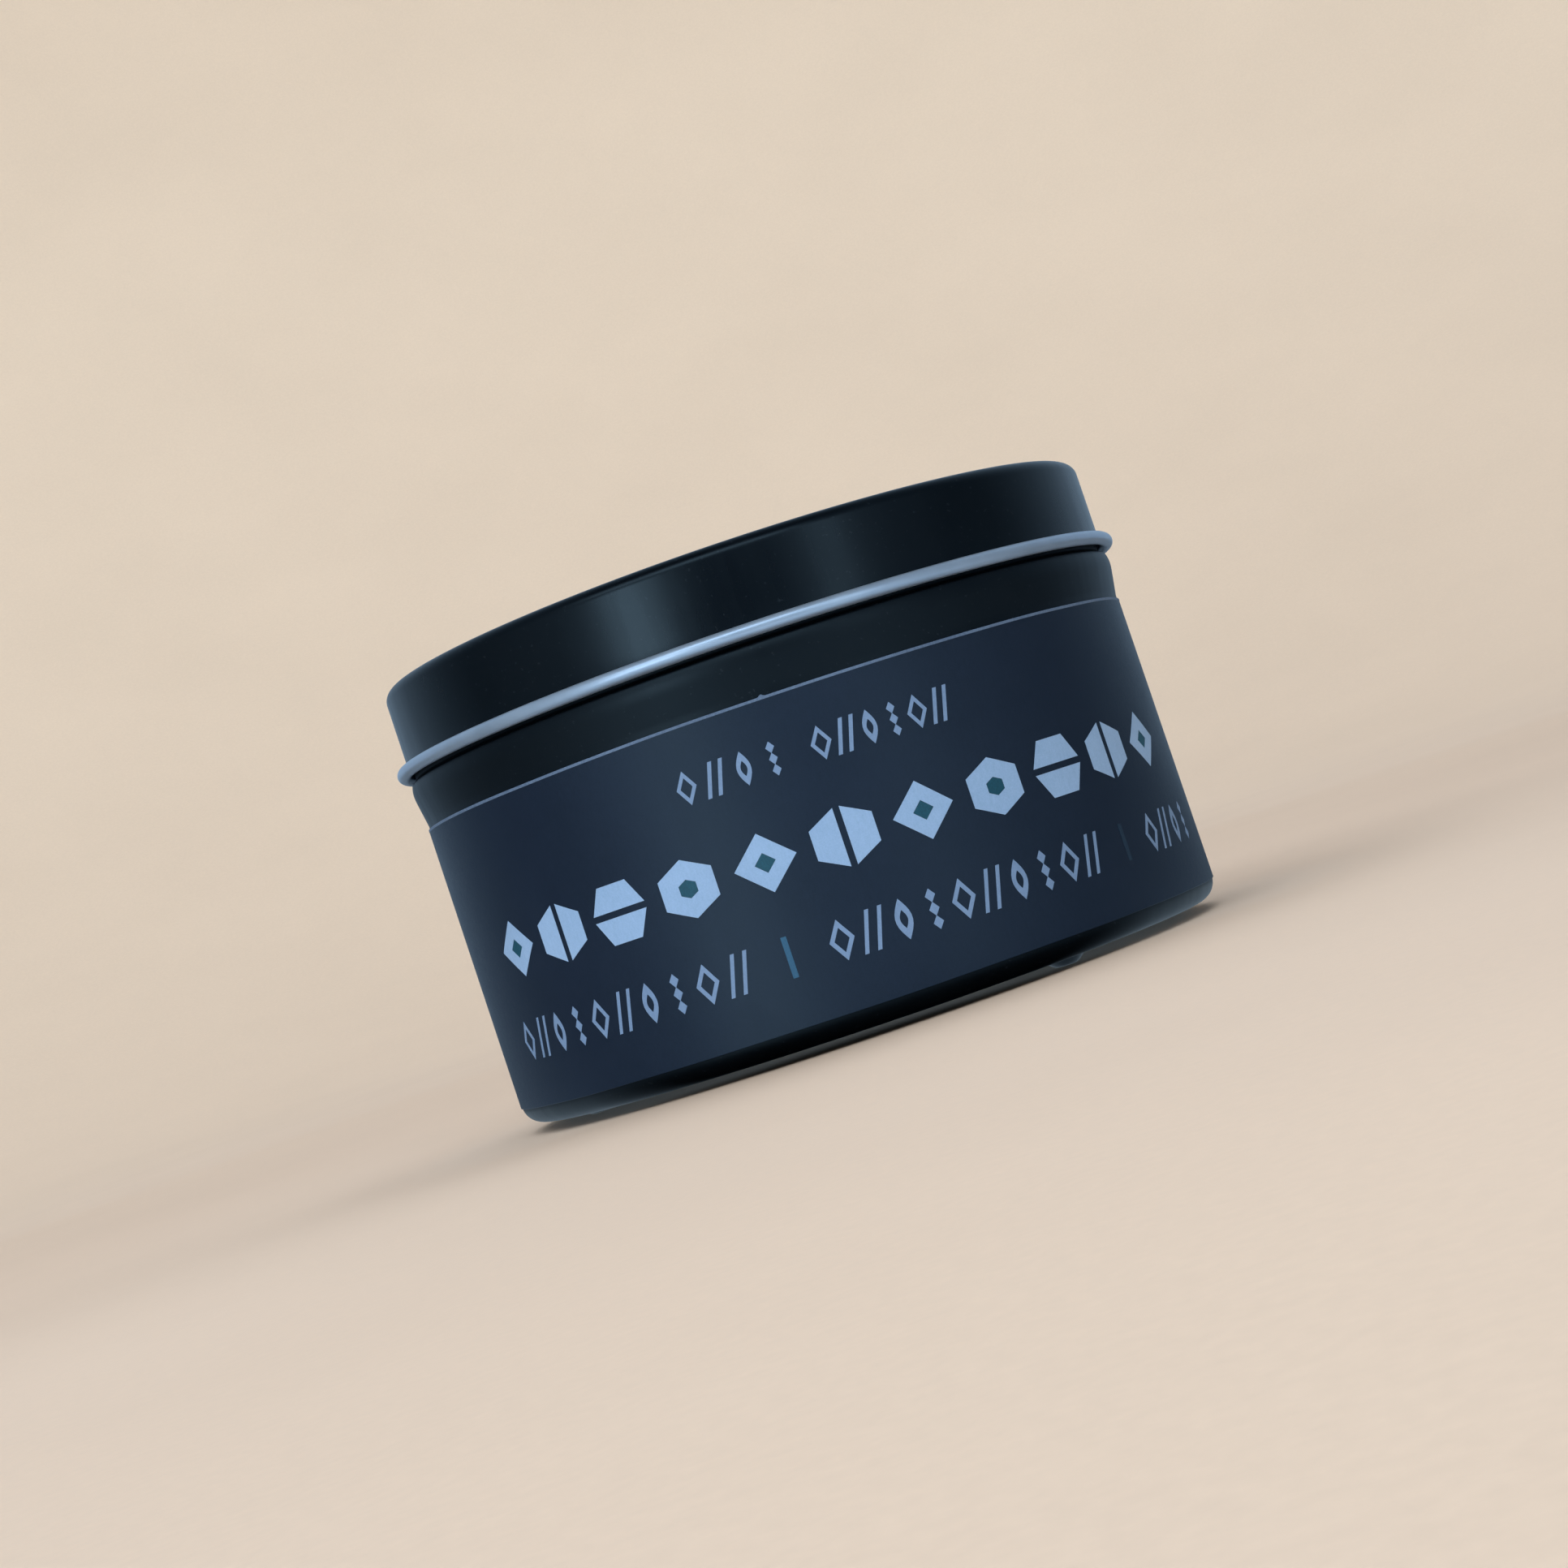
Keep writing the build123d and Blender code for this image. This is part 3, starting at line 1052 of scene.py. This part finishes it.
FLOOR_RADIUS = 0.6
COVE_RADIUS = 0.75
WALL_TOP = 1.4
LIGHT_AIM = Vector((0, 0, (lid_high.z + tin_low.z) / 2))
OVERHEAD_DISTANCE = 1.75
OVERHEAD_ELEVATION = 75
OVERHEAD_AIM = (0, OVERHEAD_DISTANCE * math.cos(math.radians(OVERHEAD_ELEVATION)), 0)
STAGE_PIECES = ("studio_floor", "painted_floor_reflection")
COOL = (0.76, 0.9, 1.0)
NEUTRAL = (0.97, 0.98, 1.0)

# Lights, as name, azimuth and elevation in degrees, distance, width and height, radiance
LOW_LIGHTS = (
    ("strip_left", -30, 4, 0.8, (0.23, 0.44), 5.0),
    ("strip_right", 31, 10, 0.8, (0.13, 0.55), 2.3),
    ("fill_left", -62, 10, 0.92, (0.62, 0.6), 0.12),
    ("fill_right", 40, 10, 0.95, (0.9, 0.6), 0.12),
)
FRONT_BOX = ("box_front", -12, 41, 0.8, (0.86, 0.28), 2.6)
KEY_LIGHT = ("key", -25, 50, 0.85, (0.95, 0.68), 1.3)
OVERHEAD_LIGHT = ("overhead", 180, OVERHEAD_ELEVATION, OVERHEAD_DISTANCE, (2.2, 1.6), 1.9)

# Painted floor reflection card: the distances from the tin's axis and the Y over which its painted light
# changes; right round the base it stays dark, a painted contact shadow
CARD_COLOUR = (0.72, 0.94, 1.14)
CARD_DARK = 0.046
CARD_LIGHT = 0.066
CARD_FADE = 0.12
CARD_RADIUS = 0.34
CARD_FRONT = -0.13
CARD_SIDE = -0.02
CARD_SIDE_LEVEL = 0.2

# Painted light on the card beside the base: its level, where it ends, and the Y over which it starts
BESIDE_LEVEL = 0.62
BESIDE_REACH = 0.05
BESIDE_END = 0.06
BESIDE_FRONT = -0.034
BESIDE_SIDE = -0.024

# Room: its colours, and the parts of a direction's Y and Z over which they change
ROOM_FRONT = (0.16, 0.23, 0.32)
ROOM_SIDE = (0.09, 0.14, 0.19)
ROOM_BACK = (0.36, 0.52, 0.70)
ROOM_BELOW = (0.004, 0.006, 0.01)
ROOM_ABOVE = (0.01, 0.015, 0.025)
SIDE_TURN = (-0.85, -0.1)
BACK_TURN = (0.06, 0.95)
BELOW_TURN = (-0.05, -0.5)
ABOVE_TURN = (0.84, 0.9)
ABOVE_AHEAD = (-0.02, -0.15)


def build_stage():
    """A pale floor that curves up all round into a low wall, with no horizon.

    It is left out of reflections, so that the dark tin mirrors the dimmer room and the glowing card's
    painted floor reflection.
    """
    path = line((0, 0), (FLOOR_RADIUS, 0), 0.1)
    path += arc((FLOOR_RADIUS, COVE_RADIUS), COVE_RADIUS, -90, 90, 6)
    path.append((FLOOR_RADIUS + COVE_RADIUS, WALL_TOP))
    mesh_data = bmesh.new()
    lathe(mesh_data, path, even_angles(STAGE_STEP))
    floor = new_piece("studio_floor", mesh_data, None, [make_backdrop()])
    for face in floor.data.polygons:
        if face.normal.z < -0.01:
            face.flip()
    floor.visible_glossy = False
    floor.visible_shadow = False


def build_painted_floor_reflection():
    """A glowing card seen only in reflections, a painted reflection of a lit floor: a painted contact shadow
    right in front, painted light beside and round it, dim far away.
    """
    material = bpy.data.materials.new("painted_floor_reflection_glow")
    material.use_nodes = True
    material.cycles.emission_sampling = "NONE"
    tree = material.node_tree
    tree.nodes.remove(tree.nodes["Principled BSDF"])
    place = object_place(tree)
    away = add_node(tree, "VectorMath", {0: place}, operation="LENGTH").outputs["Value"]
    mottle = noise_value(tree, place, 12, 3)
    rise = spread(tree, away, CARD_DARK, CARD_LIGHT, 0, 1)
    fall = spread(tree, away, CARD_FADE, CARD_RADIUS, 1, 0)
    level = add_node(tree, "Math", {0: rise, 1: fall}, operation="MULTIPLY").outputs[0]
    across = add_node(tree, "SeparateXYZ", {"Vector": place}).outputs["Y"]
    side = spread(tree, across, CARD_FRONT, CARD_SIDE, 1, CARD_SIDE_LEVEL)
    level = add_node(tree, "Math", {0: level, 1: side}, operation="MULTIPLY").outputs[0]
    near = spread(tree, away, BESIDE_REACH, BESIDE_END, BESIDE_LEVEL, 0)
    beside = spread(tree, across, BESIDE_FRONT, BESIDE_SIDE, 0, 1)
    near = add_node(tree, "Math", {0: near, 1: beside}, operation="MULTIPLY").outputs[0]
    level = add_node(tree, "Math", {0: level, 1: near}, operation="ADD").outputs[0]
    mottle = spread(tree, mottle, 0.3, 0.7, 0.9, 1.1)
    level = add_node(tree, "Math", {0: level, 1: mottle}, operation="MULTIPLY")
    # The card glows though it is no lamp: its emission is painted light for the tin to mirror
    glow = add_node(tree, "Emission", {"Color": (*CARD_COLOUR, 1), "Strength": level.outputs[0]})
    tree.links.new(glow.outputs[0], tree.nodes["Material Output"].inputs["Surface"])
    mesh_data = bmesh.new()
    lathe(mesh_data, [(0, 0), (CARD_DARK, 0), (CARD_RADIUS, 0)], even_angles(STAGE_STEP))
    card = new_piece("painted_floor_reflection", mesh_data, None, [material])
    card.visible_camera = False
    card.visible_diffuse = False
    card.visible_transmission = False
    card.visible_shadow = False


def softbox(name, azimuth, elevation, distance, size, radiance, colour, mirrored=True, aim=None):
    """A rectangular light turned to the tin, or to aim. azimuth runs from the front towards +X."""
    across, up = math.radians(azimuth), math.radians(elevation)
    place = LIGHT_AIM + distance * Vector((
        math.sin(across) * math.cos(up), -math.cos(across) * math.cos(up), math.sin(up)
    ))
    facing = place - Vector(aim or LIGHT_AIM)
    data = bpy.data.lights.new(name, "AREA")
    data.shape = "RECTANGLE"
    data.size, data.size_y = size
    data.energy = radiance * math.pi * size[0] * size[1]
    data.color = colour
    light = bpy.data.objects.new(name, data)
    bpy.context.scene.collection.objects.link(light)
    light.location = place
    light.rotation_mode = "QUATERNION"
    light.rotation_quaternion = facing.to_track_quat("Z", "Y")
    light.visible_camera = False
    light.visible_glossy = mirrored
    return light


def light_tin_alone(*lights):
    """Keeps these lights off the floor and cove, which they stand too near to light evenly."""
    tin_pieces = bpy.data.collections.new("tin_pieces")
    for piece in bpy.context.scene.objects:
        if piece.type == "MESH" and piece.name not in STAGE_PIECES:
            tin_pieces.objects.link(piece)
    for light in lights:
        light.light_linking.receiver_collection = tin_pieces


def build_room():
    """The room that the tin mirrors: dim in front and beside, lighter behind, dark overhead and below."""
    world = bpy.data.worlds.new("studio")
    bpy.context.scene.world = world
    world.use_nodes = True
    tree = world.node_tree
    axes = add_node(tree, "SeparateXYZ", {"Vector": add_node(tree, "TexCoord").outputs["Generated"]})
    behind = spread(tree, axes.outputs["Y"], *BACK_TURN, 0, 1)
    below = spread(tree, axes.outputs["Z"], *BELOW_TURN, 0, 1)
    beside = spread(tree, axes.outputs["Y"], *SIDE_TURN, 0, 1)
    around = blend_colours(tree, beside, ROOM_FRONT, ROOM_SIDE)
    around = blend_colours(tree, behind, around, ROOM_BACK)
    high = spread(tree, axes.outputs["Z"], *ABOVE_TURN, 0, 1)
    ahead = spread(tree, axes.outputs["Y"], *ABOVE_AHEAD, 0, 1)
    above = add_node(tree, "Math", {0: high, 1: ahead}, operation="MULTIPLY").outputs[0]
    colour = blend_colours(tree, below, around, ROOM_BELOW)
    colour = blend_colours(tree, above, colour, ROOM_ABOVE)
    tree.links.new(colour, tree.nodes["Background"].inputs["Color"])


def light_scene():
    light_tin_alone(*[softbox(*light, COOL) for light in LOW_LIGHTS])
    softbox(*FRONT_BOX, COOL)
    softbox(*KEY_LIGHT, NEUTRAL, mirrored=False)
    softbox(*OVERHEAD_LIGHT, NEUTRAL, mirrored=False, aim=OVERHEAD_AIM)
    build_room()


def place_camera():
    """The camera stands at table height, looks slightly up, and is rolled to its right."""
    data = bpy.data.cameras.new("camera")
    data.lens = CAMERA_LENS
    data.sensor_width = CAMERA_SENSOR
    data.clip_start, data.clip_end = 0.01, 10
    camera = bpy.data.objects.new("camera", data)
    bpy.context.scene.collection.objects.link(camera)
    look = Matrix.Rotation(math.pi / 2 + CAMERA_PITCH, 4, "X") @ Matrix.Rotation(-CAMERA_ROLL, 4, "Z")
    camera.matrix_world = Matrix.Translation((CAMERA_SIDE, -CAMERA_DISTANCE, CAMERA_HEIGHT)) @ look
    bpy.context.scene.camera = camera


build_stage()
build_painted_floor_reflection()
light_scene()
place_camera()
bpy.context.scene.view_settings.view_transform = "Standard"
